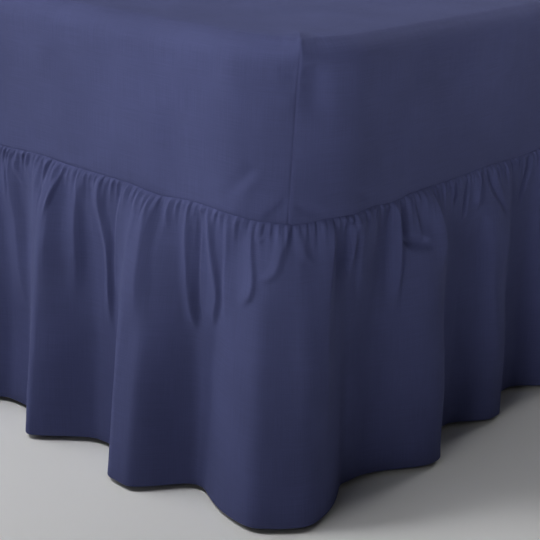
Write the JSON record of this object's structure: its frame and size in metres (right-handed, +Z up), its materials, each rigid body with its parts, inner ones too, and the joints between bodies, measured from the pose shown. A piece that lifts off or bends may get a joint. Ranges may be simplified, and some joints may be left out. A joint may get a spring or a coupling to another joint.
{
  "type": "bed skirt on a mattress and divan base",
  "caption": "Fitted valance sheet pulled over a single mattress, its gathered frill hanging in deep folds to the floor round a plain divan base.",
  "frame": {"origin": "on the floor, under the middle of the bed", "axes": "+Z up, +X across the bed, +Y along the bed towards the head end, so the foot end faces -Y"},
  "size_m": [1.0512, 2.086, 0.653],
  "materials": {
    "base_cover": "plain grey-beige upholstery cloth, matt",
    "ticking": "plain off-white mattress ticking, matt",
    "sheet_cloth": "indigo plain-weave polycotton, smooth and stretched, matt",
    "frill_cloth": "indigo plain-weave polycotton, gathered, matt"
  },
  "bodies": {
    "root": {"divan_base": "base_cover", "mattress": "ticking", "fitted_sheet": "sheet_cloth", "frill": "frill_cloth"}
  },
  "joints": []
}
